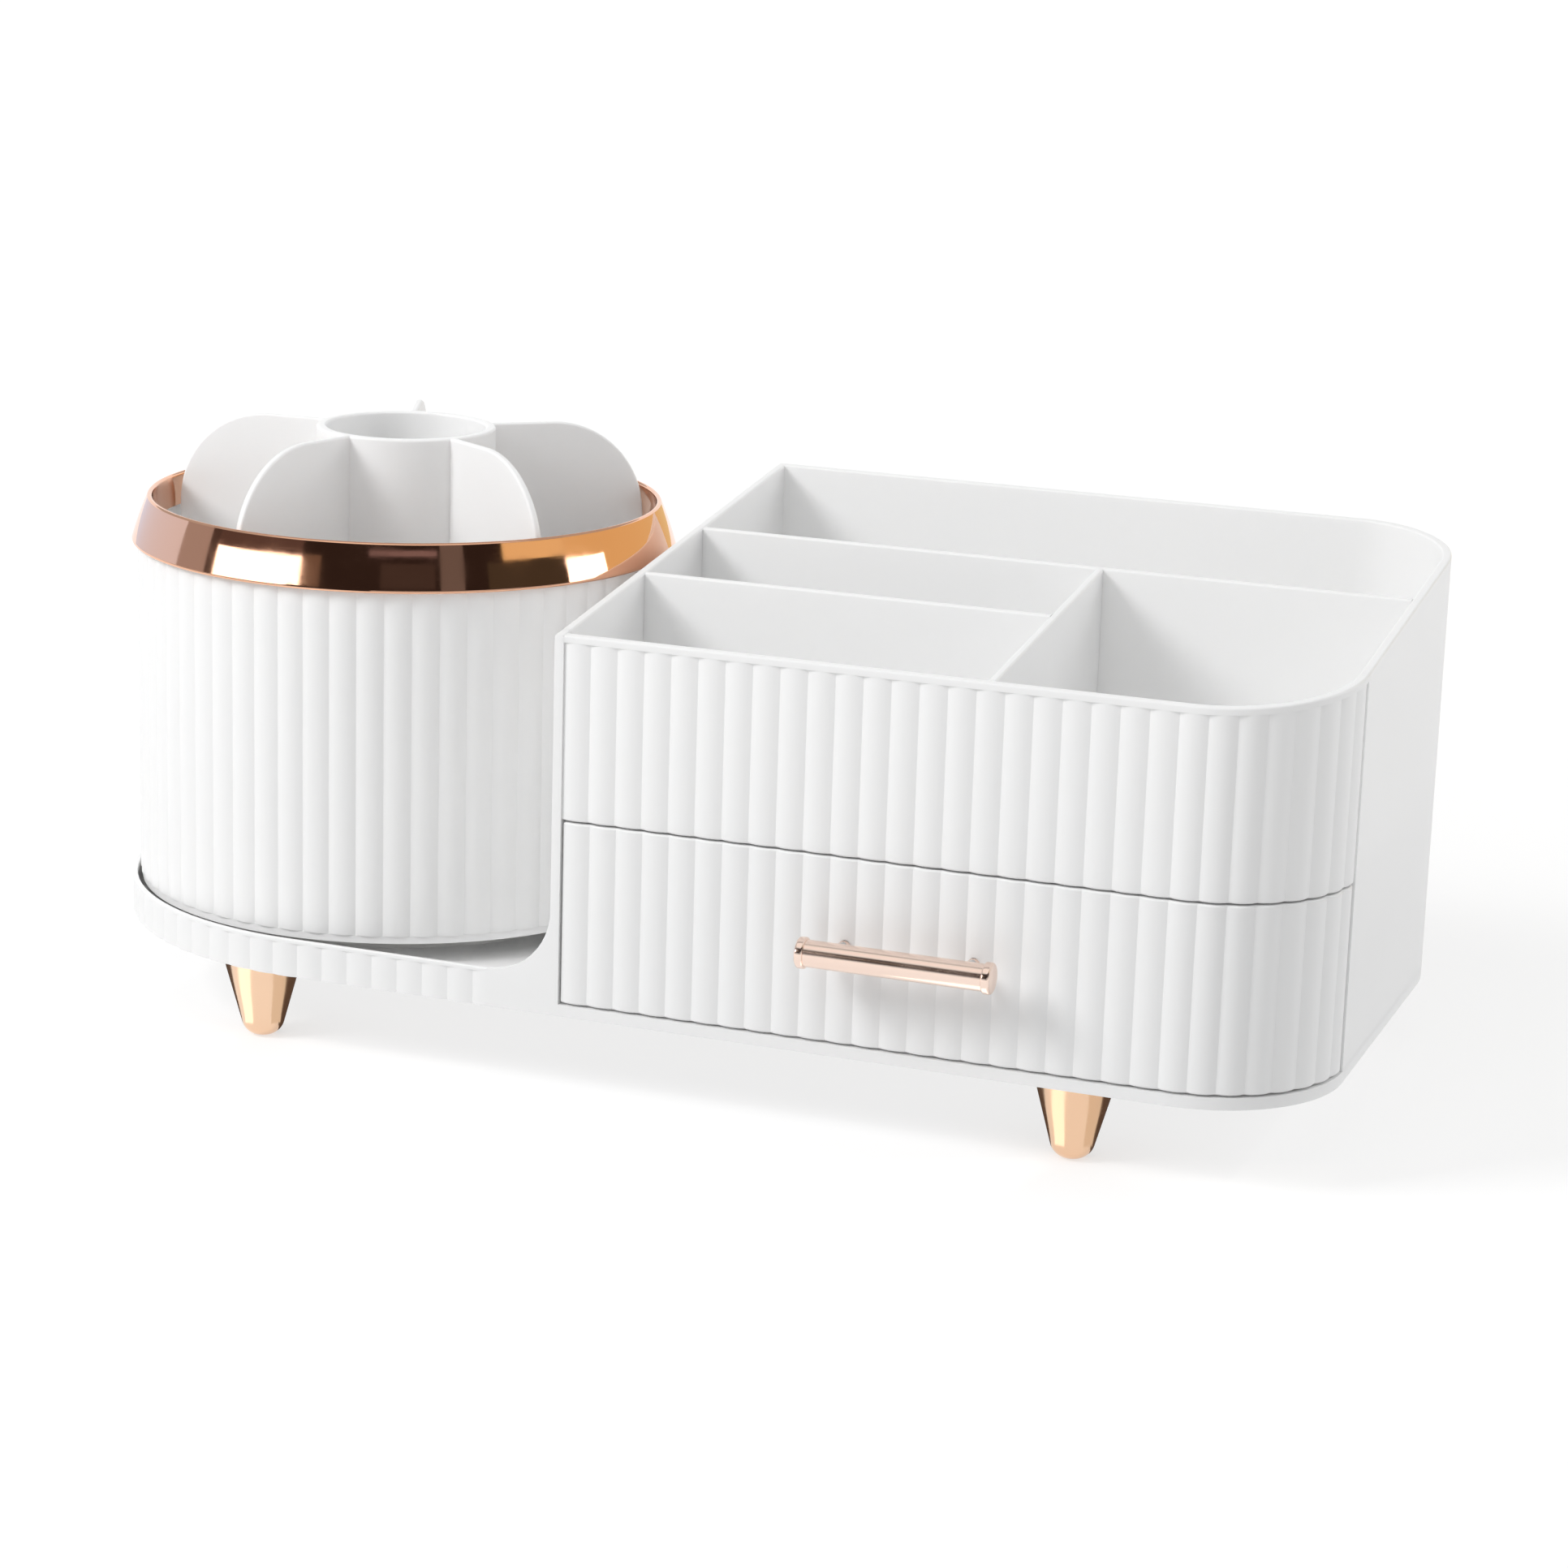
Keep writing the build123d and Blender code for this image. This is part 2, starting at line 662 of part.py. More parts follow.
# ---- drawer -----------------------------------------------------------------------------------------
def handle_posts():
    reach = handle_length / 2 - handle_post_inset
    return [handle_x - reach, handle_x + reach]


def drawer_front():
    z0 = z_deck + drawer_gap + reed_end
    z1 = z_shelf - drawer_gap - reed_end
    plan = (drawer_gap, drawer_gap, drawer_front_wall)
    panel = Pos(0, 0, z0) * extrude(reeded_front(*plan), z1 - z0)
    panel = panel + reed_ends(*plan, z0, -1) + reed_ends(*plan, z1, 1)
    return panel - handle_holes(y_front + drawer_front_wall)


def handle_holes(y1):
    """The way of the two handle screws, from before the front face back to y1."""
    z = z_base + handle_height
    radius = handle_screw_radius + screw_slack
    return [rod_y(x, y_front - past, y1 + past, z, radius) for x in handle_posts()]


def drawer_tray():
    z0 = z_deck + tray_lift
    z1 = z_shelf - tray_top_gap
    zb = z_shelf - tray_back_top_gap
    x0 = x_left + wall + tray_side_gap
    x1 = x_right - wall - tray_side_gap
    y0 = y_front + drawer_front_wall
    y1 = y_back - wall - tray_back_gap
    rf = front_corner_radius - drawer_front_wall
    rb = back_corner_radius - wall - tray_side_gap
    outer = corner_plan(x0, x1, y0, y1, rf, rb)
    w = tray_wall
    inner = corner_plan(x0 + w, x1 - w, y0 + w, y1 - w, rf - w, rb - w)
    body = Pos(0, 0, z0 + runner_height) * extrude(outer, zb - z0 - runner_height)
    body = body - Pos(0, 0, z0 + runner_height + tray_floor) * extrude(inner, zb)
    body = body - block(x0 - past, x1 + past, y0 - past, y1 - w - rb, z1, zb + past)
    body = body - block(x1 - rb, x1 + past, y0 - past, y1 + past, z1, zb + past)
    body = body - block(x0 - past, x0 + w + past, y0 - past, y1 + past, z1, zb + past)
    for x in (x0 + runner_inset, x1 - runner_inset - rf):
        ends = (y0 + runner_end, y1 - runner_end)
        body = body + block(x, x + runner_width, *ends, z0, z0 + runner_height + tray_floor / 2)
    return body - handle_holes(y0 + w)


# ---- handle -----------------------------------------------------------------------------------------
def handle_bar():
    half = handle_length / 2 - handle_cap_length
    y = y_front - handle_standoff
    return rod_x(handle_x - half, handle_x + half, y, z_base + handle_height, handle_radius)


def handle_cap(side):
    inner = handle_x + side * (handle_length / 2 - handle_cap_length)
    outer = handle_x + side * handle_length / 2
    cap = rod_x(inner, outer, y_front - handle_standoff, z_base + handle_height, handle_cap_radius)
    return fillet(cap.edges().filter_by(GeomType.CIRCLE), handle_cap_round)


def handle_post(x):
    y0 = y_front - handle_standoff
    z = z_base + handle_height
    post = rod_y(x, y0, y_front, z, handle_post_radius)
    reach = handle_post_radius + past
    post = post - rod_x(x - reach, x + reach, y0, z, handle_radius)
    bottom = y_front - handle_screw_reach - screw_end_gap
    return post - rod_y(x, bottom, y_front + past, z, handle_screw_radius)


def handle_screw(x):
    y0 = y_front + drawer_front_wall + tray_wall
    z = z_base + handle_height
    shank = rod_y(x, y_front - handle_screw_reach, y0, z, handle_screw_radius)
    return shank + rod_y(x, y0, y0 + screw_head_height, z, screw_head_radius)


def main():
    os.makedirs("parts", exist_ok=True)
    save(base_frame(), "base_frame")
    save(box_shell(), "box_shell")
    save(upper_front(), "upper_front")
    save(divider_back(), "divider_back")
    save(divider_middle(), "divider_middle")
    save(divider_cross(), "divider_cross")
    names = ["foot_front_left", "foot_front_right", "foot_back_left", "foot_back_right"]
    for name, (x, y) in zip(names, foot_places()):
        save(foot(x, y), name)
    save(Compound([foot_screw(x, y) for x, y in foot_places()]), "foot_screws")
    save(bearing_race(), "bearing_race")
    save(pivot_pin(), "pivot_pin")
    save(retaining_washer(), "retaining_washer")
    save(retaining_screw(), "retaining_screw")
    save(ball_cage(), "ball_cage")
    save(Compound([Pos(x, y, z_ball) * Sphere(ball_radius) for x, y in ball_places()]), "bearing_balls")
    save(turntable_plate(), "turntable_plate")
    save(Compound([cup_screw(x, y) for x, y in cup_screw_places()]), "cup_screws")
    save(cup(), "cup")
    save(rim_ring(), "rim_ring")
    save(brush_insert(), "brush_insert")
    save(drawer_tray(), "drawer_tray")
    save(drawer_front(), "drawer_front")
    save(handle_bar(), "handle_bar")
    save(handle_cap(-1), "handle_cap_left")
    save(handle_cap(1), "handle_cap_right")
    left, right = handle_posts()
    save(handle_post(left), "handle_post_left")
    save(handle_post(right), "handle_post_right")
    save(Compound([handle_screw(x) for x in handle_posts()]), "handle_screws")


main()
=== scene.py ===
# %% [markdown]
# A desk organizer in white moulded plastic with rose gold trim, dressed in Blender.
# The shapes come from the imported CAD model, which is the fixed frame. This lesson gives every
# piece its finish, then sets a floor, a soft studio and a camera. Everything is in metres.

# %% Load the frame
import bmesh
import bpy
import json
import math
from mathutils import Matrix, Vector


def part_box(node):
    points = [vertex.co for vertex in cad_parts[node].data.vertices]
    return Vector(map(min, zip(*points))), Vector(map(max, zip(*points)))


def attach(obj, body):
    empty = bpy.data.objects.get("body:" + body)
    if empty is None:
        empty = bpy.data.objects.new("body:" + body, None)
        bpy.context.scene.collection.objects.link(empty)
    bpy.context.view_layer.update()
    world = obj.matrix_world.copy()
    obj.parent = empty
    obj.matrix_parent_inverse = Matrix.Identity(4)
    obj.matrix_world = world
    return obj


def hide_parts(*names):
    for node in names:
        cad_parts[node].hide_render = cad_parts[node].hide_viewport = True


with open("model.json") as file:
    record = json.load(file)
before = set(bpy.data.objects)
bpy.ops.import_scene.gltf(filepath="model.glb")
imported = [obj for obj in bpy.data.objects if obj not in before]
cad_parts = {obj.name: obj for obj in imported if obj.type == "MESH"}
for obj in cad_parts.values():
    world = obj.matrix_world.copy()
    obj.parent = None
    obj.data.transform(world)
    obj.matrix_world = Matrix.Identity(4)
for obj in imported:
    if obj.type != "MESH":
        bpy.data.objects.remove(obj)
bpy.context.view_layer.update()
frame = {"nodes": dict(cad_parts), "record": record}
nodes = frame["nodes"]

# %% [markdown]
# Finishes are written as sums and products, so a reader sees the recipe and not the wiring.
# A small class holds one socket, and its operators add Math nodes. Numbers that are the same
# everywhere go straight to a shader's own socket instead.

# %% A socket that can be added and multiplied
class Wire:
    def __init__(self, book, socket):
        self.book = book
        self.socket = socket

    def math(self, operation, other, swap=False):
        pair = (other, self) if swap else (self, other)
        return self.book.node("ShaderNodeMath", {"operation": operation}, dict(enumerate(pair)))

    def __add__(self, other):
        return self.math("ADD", other)

    def __radd__(self, other):
        return self.math("ADD", other, True)

    def __sub__(self, other):
        return self.math("SUBTRACT", other)

    def __rsub__(self, other):
        return self.math("SUBTRACT", other, True)

    def __mul__(self, other):
        return self.math("MULTIPLY", other)

    def __rmul__(self, other):
        return self.math("MULTIPLY", other, True)



class Book:
    """One material's nodes, with a Principled shader as its last page."""

    def __init__(self, name):
        self.material = bpy.data.materials.new(name)
        self.material.use_nodes = True
        self.tree = self.material.node_tree
        self.shader = self.tree.nodes["Principled BSDF"]

    def put(self, socket, value):
        if isinstance(value, Wire):
            self.tree.links.new(value.socket, socket)
        else:
            socket.default_value = value

    def node(self, kind, settings=None, sockets=None, out=0):
        made = self.tree.nodes.new(kind)
        for key, value in (settings or {}).items():
            setattr(made, key, value)
        for key, value in (sockets or {}).items():
            self.put(made.inputs[key], value)
        return Wire(self, made.outputs[out])

    def set(self, **values):
        for key, value in values.items():
            self.put(self.shader.inputs[key.replace("_", " ")], value)

    def place(self):
        return self.node("ShaderNodeTexCoord", out="Object")

    def noise(self, scale, detail=2.0, stretch=None, roughness=0.5):
        where = self.place()
        if stretch:
            where = self.node("ShaderNodeVectorMath", {"operation": "MULTIPLY"}, {0: where, 1: stretch})
        sockets = {"Vector": where, "Scale": scale, "Detail": detail, "Roughness": roughness}
        return self.node("ShaderNodeTexNoise", None, sockets, "Fac")

    def spread(self, value, low, high, to_low, to_high):
        """Moves a value from one range to another and clamps it."""
        sockets = {"Value": value, "From Min": low, "From Max": high, "To Min": to_low, "To Max": to_high}
        return self.node("ShaderNodeMapRange", None, sockets, "Result")

    def blend(self, share, first, second):
        sockets = {"Factor": share, 6: first, 7: second}
        return self.node("ShaderNodeMix", {"data_type": "RGBA"}, sockets, 2)

    def edges(self, low=0.52, high=0.6):
        """White on outer edges, where hands and moulds wear a surface."""
        sharp = self.node("ShaderNodeNewGeometry", out="Pointiness")
        return self.spread(sharp, low, high, 0.0, 1.0)

    def bump(self, height, strength, distance):
        sockets = {"Height": height, "Strength": strength, "Distance": distance}
        self.set(Normal=self.node("ShaderNodeBump", None, sockets, "Normal"))


print("shader helpers ready")

# %% [markdown]
# The body is white ABS from a polished mould. It is a warm neutral white, a little cloudy in
# depth, with the faint waviness that moulded walls have and a soft gloss that handling has
# rubbed unevenly. Real walls also glow a little inside, which a small subsurface share gives.
# The insert gets a lighter copy of the same white: painted light, which brightens it where the lamps leave it
# too dark.

# %% White moulded plastic
def white_plastic(name, light, deep):
    book = Book(name)
    cloud = book.noise(9.0, 3.0)
    fine = book.noise(60.0, 4.0)
    grain = book.noise(1400.0, 2.0)
    share = book.spread(cloud, 0.35, 0.65, 0.0, 1.0)
    colour = book.blend(share, light, deep)
    rough = 0.34 + (fine - 0.5) * 0.10 + (cloud - 0.5) * 0.06
    book.set(Base_Color=colour, Roughness=rough, IOR=1.49)
    book.set(Subsurface_Weight=0.25, Subsurface_Radius=(1.0, 0.98, 0.95), Subsurface_Scale=0.002)
    book.bump(book.noise(35.0, 2.0) * 0.8 + grain * 0.05, 0.12, 0.0006)
    return book.material


white = white_plastic("white_abs", (0.935, 0.935, 0.932, 1.0), (0.915, 0.917, 0.917, 1.0))
# A lighter copy of the body's white for the insert: its extra brightness is painted light.
insert_white_painted_lighter = white_plastic("white_insert_painted_lighter", (0.968, 0.968, 0.966, 1.0), (0.955, 0.956, 0.956, 1.0))
print("made", white.name, insert_white_painted_lighter.name)

# %% [markdown]
# The ring is plastic plated with a copper-toned rose gold, bright as a mirror. The plating is
# never perfectly even: it has a slight ripple, hairline polishing marks round it, a warmer
# tone where it is thinner, and edges that handling has dulled.

# %% Rose gold plating
def rose_gold(name, light, dark, gloss, ripple=0.05):
    book = Book(name)
    cloud = book.noise(14.0, 3.0)
    hair = book.noise(160.0, 3.0, stretch=(1.0, 1.0, 14.0))
    smudge = book.noise(45.0, 5.0, roughness=0.65)
    colour = book.blend(book.spread(cloud, 0.35, 0.65, 0.0, 1.0), light, dark)
    rough = gloss + book.spread(smudge, 0.45, 0.75, 0.0, 0.10) + (hair - 0.5) * 0.04
    rough = rough + book.edges() * 0.06
    book.set(Base_Color=colour, Roughness=rough, Metallic=1.0)
    book.bump(book.noise(60.0, 1.0) + hair * 0.10, ripple, 0.0004)
    return book.material


ring_gold = rose_gold("rose_gold_ring", (0.86, 0.50, 0.34, 1.0), (0.82, 0.46, 0.30, 1.0), 0.04, 0.03)
foot_gold = rose_gold("rose_gold_feet", (0.90, 0.63, 0.44, 1.0), (0.86, 0.58, 0.39, 1.0), 0.16)
bar_gold = rose_gold("rose_gold_handle", (0.93, 0.77, 0.68, 1.0), (0.90, 0.71, 0.61, 1.0), 0.10)
print("made", ring_gold.name, foot_gold.name, bar_gold.name)

# %% [markdown]
# Out of sight are zinc plated screws, steel balls and the acetal of the bearing. They show when
# the drawer is out or the cup is seen from below.

# %% Steel and acetal
def steel(name):
    book = Book(name)
    streak = book.noise(400.0, 3.0, stretch=(1.0, 1.0, 6.0))
    colour = book.blend(streak, (0.56, 0.57, 0.58, 1.0), (0.70, 0.70, 0.69, 1.0))
    book.set(Base_Color=colour, Roughness=0.24 + streak * 0.16, Metallic=1.0)
    book.bump(streak, 0.1, 0.0002)
    return book.material


def acetal(name):
    book = Book(name)
    cloud = book.noise(30.0, 3.0)
    colour = book.blend(cloud, (0.83, 0.83, 0.81, 1.0), (0.78, 0.78, 0.76, 1.0))
    book.set(Base_Color=colour, Roughness=0.42 + (cloud - 0.5) * 0.2)
    book.bump(book.noise(700.0), 0.08, 0.0002)
    return book.material


zinc = steel("zinc_steel")
bearing = acetal("bearing_acetal")
print("made", zinc.name, bearing.name)

# %% [markdown]
# Each CAD node takes the finish of its slot in the record. The insert alone gets the lighter copy of the
# white, whose extra brightness is painted light.

# %% Hand out the finishes
finish_of = {
    "white_plastic": white, "plated_ring": ring_gold, "plated_feet": foot_gold,
    "handle_metal": bar_gold, "bearing_plastic": bearing, "screw_steel": zinc,
}
for part in frame["record"]["subparts"]:
    mesh = nodes[part["node"]].data
    mesh.materials.clear()
    mesh.materials.append(finish_of[part["material_slot"]])
nodes["brush_insert"].data.materials[0] = insert_white_painted_lighter

# %% [markdown]
# Bright plating shows every flat facet of a mesh as a broken mirror image, so the plated pieces
# are turned again here with many more steps, close to the outlines of the CAD solids, and stand
# in their places. A turned piece is one outline, as pairs of radius and height in millimetres,
# swept round an axis. Round corners are short rows of points along an arc.

# %% Turning helpers
turning_steps = 240


def arc(middle, radius, start, end, steps=10):
    """Points along an arc, with its angles in degrees."""
    angles = [math.radians(start + (end - start) * i / steps) for i in range(steps + 1)]
    return [(middle[0] + radius * math.cos(a), middle[1] + radius * math.sin(a)) for a in angles]


def bowed(start, end, bow, steps=16):
    """Points along a gently bowed line, pushed out by bow in its middle."""
    out = []
    for i in range(steps + 1):
        t = i / steps
        push = bow * 4.0 * t * (1.0 - t)
        out.append((start[0] + (end[0] - start[0]) * t + push, start[1] + (end[1] - start[1]) * t))
    return out


def turned_mesh(name, outline, origin, axis, closed):
    """Sweeps the outline round an axis through origin. Points of no radius become one vertex."""
    side = Vector((0.0, 0.0, 1.0)) if abs(axis.z) < 0.5 else Vector((1.0, 0.0, 0.0))
    other = axis.cross(side)
    made = bmesh.new()
    rings = []
    for radius, height in outline:
        at = origin + axis * (height / 1000.0)
        count = turning_steps if radius > 0.0 else 1
        ring = []
        for k in range(count):
            a = 2.0 * math.pi * k / count
            ring.append(made.verts.new(at + (side * math.cos(a) + other * math.sin(a)) * (radius / 1000.0)))
        rings.append(ring)
    for first, second in zip(rings, rings[1:] + (rings[:1] if closed else [])):
        for k in range(turning_steps):
            loop = [first[k % len(first)], first[(k + 1) % len(first)]]
            loop += [second[(k + 1) % len(second)], second[k % len(second)]]
            corners = list(dict.fromkeys(loop))
            if len(corners) > 2:
                made.faces.new(corners)
    bmesh.ops.recalc_face_normals(made, faces=made.faces)
    mesh = bpy.data.meshes.new(name)
    made.to_mesh(mesh)
    made.free()
    mesh.shade_smooth()
    mesh.set_sharp_from_angle(angle=math.radians(40.0))
    return mesh


def turned(name, outline, origin, axis, node, finish, closed=False):
    mesh = turned_mesh(name, outline, Vector(origin), Vector(axis), closed)
    mesh.materials.append(finish)
    piece = bpy.data.objects.new(name, mesh)
    bpy.context.scene.collection.objects.link(piece)
    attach(piece, body_of[node])
    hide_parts(node)
    print("turned", name, len(mesh.vertices), "vertices")
    return piece


def box_middle(node):
    low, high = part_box(node)
    return (Vector(low) + Vector(high)) / 2


body_of = {node: body for body, held in frame["record"]["behaviour"]["bodies"].items() for node in held}

# %% [markdown]
# The ring is a leaning band with a thin rounded crest and a lining inside the cup's mouth. The
# band is bowed by a fifth of a millimetre, so that it mirrors a tall slice of the room, as the
# real one does.

# %% Rim ring
ring_outline = arc((66.6, 0.4), 0.4, -90.0, -5.0, 6)
ring_outline += bowed((67.0, 0.42), (63.26, 10.74), 0.2, 24)
ring_outline += arc((62.6, 10.5), 0.7, 24.0, 180.0, 16)
ring_outline += [(61.9, 3.2), (62.8, 3.2), (62.8, 5.5), (64.4, 5.5), (64.4, 0.0)]
ring_foot = box_middle("rim_ring")
ring_foot.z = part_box("rim_ring")[0][2]
turned("plated_rim_ring", ring_outline, ring_foot, (0.0, 0.0, 1.0), "rim_ring", ring_gold, closed=True)

# %% [markdown]
# A foot is a slim cone that ends in a round tip. The tip's arc meets the floor and the taper
# without a break.

# %% Feet
foot_outline = [(0.0, 0.0)] + arc((0.993, 4.2), 4.2, -90.0, -15.3, 14)
foot_outline += [(7.4, 11.71), (9.65, 19.95)] + arc((9.4, 20.1), 0.4, 0.0, 90.0, 4) + [(0.0, 20.5)]
for side in ("front_left", "front_right", "back_left", "back_right"):
    tip = box_middle("foot_" + side)
    tip.z = 0.0
    turned("plated_foot_" + side, foot_outline, tip, (0.0, 0.0, 1.0), "foot_" + side, foot_gold)

# %% [markdown]
# The handle is a bright bar between two caps a little wider than it. Its two posts are set half a
# millimetre below the middle of the bar, so that less of them shows above it. Their tops can
# still be seen there from the front.

# %% Handle
bar_low, bar_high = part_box("handle_bar")
bar_length = (bar_high[0] - bar_low[0]) * 1000.0
bar_outline = [(0.0, 0.0), (3.1, 0.0), (3.1, bar_length), (0.0, bar_length)]
bar_end = box_middle("handle_bar")
bar_end.x = bar_low[0]
turned("bright_handle_bar", bar_outline, bar_end, (1.0, 0.0, 0.0), "handle_bar", bar_gold)

cap_outline = [(0.0, 0.0)] + arc((3.1, 0.5), 0.5, -90.0, 0.0, 8)
cap_outline += arc((3.0, 1.4), 0.6, 0.0, 90.0, 10) + [(0.0, 2.0)]
for side, way in (("left", -1.0), ("right", 1.0)):
    seat = box_middle("handle_cap_" + side)
    seat.x -= way * 0.001
    turned("bright_handle_cap_" + side, cap_outline, seat, (way, 0.0, 0.0), "handle_cap_" + side, bar_gold)

post_drop = 0.0005
post_outline = [(0.0, 0.0), (1.55, 0.0), (1.55, 0.7), (1.3, 1.2), (1.2, 2.0), (1.2, 7.6), (0.0, 7.6)]
for side in ("left", "right"):
    seat = box_middle("handle_post_" + side)
    seat.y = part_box("handle_post_" + side)[1][1]
    seat.z -= post_drop
    turned("bright_handle_post_" + side, post_outline, seat, (0.0, -1.0, 0.0),
           "handle_post_" + side, bar_gold)

# %% [markdown]
# The table is a wide sheet of white paper that curves up far behind, as a paper roll does in a
# studio. Goods like this are shown high key: the paper is lit until it is as bright as the page
# it is printed on. Here it glows a little by itself, as a light table does, and more with the
# distance from the object, so that only a trace of shadow is left under the body.

# %% Paper sweep
paper_half_width = 30.0
paper_reach = 6.0
paper_rise = 3.0
paper_bend = 1.6
paper_bend_steps = 24


def paper_line():
    """The side view of the sweep, as pairs of (y, z)."""
    points = [(-paper_reach, 0.0)]
    for i in range(paper_bend_steps + 1):
        turn = math.pi / 2 * i / paper_bend_steps
        y = paper_reach + paper_bend * (math.sin(turn) - 1.0)
        points.append((y, paper_bend * (1.0 - math.cos(turn))))
    points.append((paper_reach, paper_rise))
    return points


def paper_material():
    book = Book("paper_white")
    fibre = book.noise(900.0, 3.0)
    away = book.node("ShaderNodeVectorMath", {"operation": "LENGTH"}, {0: book.place()}, "Value")
    glow = book.spread(away, 0.3, 1.4, 0.57, 0.80)
    colour = book.blend(fibre, (0.46, 0.46, 0.46, 1.0), (0.44, 0.44, 0.44, 1.0))
    book.set(Base_Color=colour, Roughness=0.9, Emission_Strength=1.0)
    book.set(Emission_Color=book.blend(glow, (0.0, 0.0, 0.0, 1.0), (1.0, 1.0, 1.0, 1.0)))
    return book.material


def paper_sweep():
    line = paper_line()
    corners = [(x, y, z) for y, z in line for x in (-paper_half_width, paper_half_width)]
    faces = [(2 * i, 2 * i + 1, 2 * i + 3, 2 * i + 2) for i in range(len(line) - 1)]
    mesh = bpy.data.meshes.new("paper")
    mesh.from_pydata(corners, [], faces)
    mesh.shade_smooth()
    mesh.materials.append(paper_material())
    paper = bpy.data.objects.new("paper", mesh)
    bpy.context.scene.collection.objects.link(paper)
    paper.visible_diffuse = False
    return paper


print("floor", paper_sweep().name)

# %% [markdown]
# White goods need two kinds of light that are set apart. The large soft boxes here shade the white
# plastic: a key from the left front, a broad one in front, and a weak one from the right for the
# side wall. They are kept out of the mirror images, because the plated parts get their own cards.

# %% Soft boxes for the plastic
def soft_box(name, turn, height, distance, side, power):
    """A square soft box: turn is its compass angle from +X, and height its angle above the table."""
    light = bpy.data.lights.new(name, "AREA")
    light.size = side
    light.energy = power
    holder = bpy.data.objects.new(name, light)
    bpy.context.scene.collection.objects.link(holder)
    level = math.cos(math.radians(height))
    way = Vector((level * math.cos(math.radians(turn)), level * math.sin(math.radians(turn)),
                  math.sin(math.radians(height))))
    holder.location = Vector((0.0, 0.0, 0.07)) + way * distance
    holder.rotation_euler = way.to_track_quat("Z", "Y").to_euler()
    holder.visible_glossy = False
    return holder


soft_box("key_box", -140.0, 36.0, 1.7, 0.6, 15.0)
soft_box("front_box", -80.0, 50.0, 1.7, 1.0, 3.0)
soft_box("side_box", 34.0, 24.0, 1.6, 0.7, 5.0)
print("soft boxes set")

# %% [markdown]
# The room fills the shadows. It is brighter from below than from above, as light thrown up by a
# white table is. The paper itself is kept out of that fill, so that it can be bright in the
# picture without washing the ribs out.

# %% Light from the room
room_from_below = 0.74
room_from_above = 0.52
room_change = 0.25


class Room(Book):
    """The world's nodes, with its Background shader as the last page."""

    def __init__(self, world):
        world.use_nodes = True
        self.tree = world.node_tree
        self.shader = self.tree.nodes["Background"]


world = bpy.data.worlds.new("studio")
bpy.context.scene.world = world
room = Room(world)
way = room.node("ShaderNodeTexCoord", out="Generated")
rise = room.node("ShaderNodeSeparateXYZ", None, {0: way}, "Z")
room.set(Color=(1.0, 1.0, 1.0, 1.0))
room.set(Strength=room.spread(rise, -room_change, room_change, room_from_below, room_from_above))
print("room light", room_from_below, "to", room_from_above)

# %% [markdown]
# The camera was worked out from the outlines in the photograph: it stands to the right, looks
# down at about fifteen degrees, and is rolled by less than two. Its place is given from the box's
# left front corner, at the underside of the base.

# %% Camera
box_corner = Vector((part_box("box_shell")[0][0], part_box("base_frame")[0][1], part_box("base_frame")[0][2]))
camera_place = box_corner + Vector((0.35126, -0.80684, 0.28588))
camera_yaw = 0.3506
camera_pitch = 0.2549
camera_roll = -0.0312
focal_pixels = 4908.8
photo_pixels = 1932
sensor_mm = 36.0

ahead = Vector((-math.sin(camera_yaw) * math.cos(camera_pitch),
                math.cos(camera_yaw) * math.cos(camera_pitch), -math.sin(camera_pitch)))
level = Vector((math.cos(camera_yaw), math.sin(camera_yaw), 0.0))
down = ahead.cross(level)
right = math.cos(camera_roll) * level + math.sin(camera_roll) * down
below = -math.sin(camera_roll) * level + math.cos(camera_roll) * down
camera_data = bpy.data.cameras.new("camera")
camera_data.sensor_width = sensor_mm
camera_data.lens = focal_pixels / photo_pixels * sensor_mm
camera = bpy.data.objects.new("camera", camera_data)
bpy.context.scene.collection.objects.link(camera)
camera.matrix_world = Matrix((
    (right.x, -below.x, -ahead.x, camera_place.x),
    (right.y, -below.y, -ahead.y, camera_place.y),
    (right.z, -below.z, -ahead.z, camera_place.z),
    (0.0, 0.0, 0.0, 1.0)))
bpy.context.scene.camera = camera
print("lens", round(camera_data.lens, 1), "mm")

# %% [markdown]
# A mirror shows the room and nothing else, so plated parts are lit by what stands round them. In
# a studio those are cards: black ones draw the dark bands that make metal look like metal, white
# ones make the sharp bright patches. Only mirror images see the cards, so they throw no shadow
# and hide nothing from any side.

# %% Hanging a card
def hang_card(name, corners, faces, colour):
    mesh = bpy.data.meshes.new(name)
    mesh.from_pydata(corners, [], faces)
    book = Book(name)
    book.set(Base_Color=(0.0, 0.0, 0.0, 1.0), Roughness=1.0, Specular_IOR_Level=0.0)
    book.set(Emission_Color=colour + (1.0,), Emission_Strength=1.0)
    mesh.materials.append(book.material)
    card = bpy.data.objects.new(name, mesh)
    bpy.context.scene.collection.objects.link(card)
    card.visible_camera = False
    card.visible_diffuse = False
    card.visible_transmission = False
    card.visible_volume_scatter = False
    card.visible_shadow = False
    return card


def quads(across, up):
    """The faces of a grid whose corners are listed row by row."""
    row = across + 1
    return [(j * row + i, j * row + i + 1, (j + 1) * row + i + 1, (j + 1) * row + i)
            for j in range(up) for i in range(across)]


print("card helpers ready")

# %% [markdown]
# A photographer moves each card until its mirror image lies where it should on the ring. Here
# that is worked out: the corners of a card are where a line from the lens goes on to after the
# ring has mirrored it. The large cards close the ring's view, and the small ones hang nearer.

# %% Cards seen in the ring
far_cards_at = 1.4
near_cards_at = 1.3
band_foot = (0.0670, 0.0004)
band_top = (0.06326, 0.01074)
band_lean = math.atan2(band_foot[0] - band_top[0], band_top[1] - band_foot[1])
band_bow = 0.075
ring_facing = math.atan2(camera_place.y - ring_foot.y, camera_place.x - ring_foot.x)


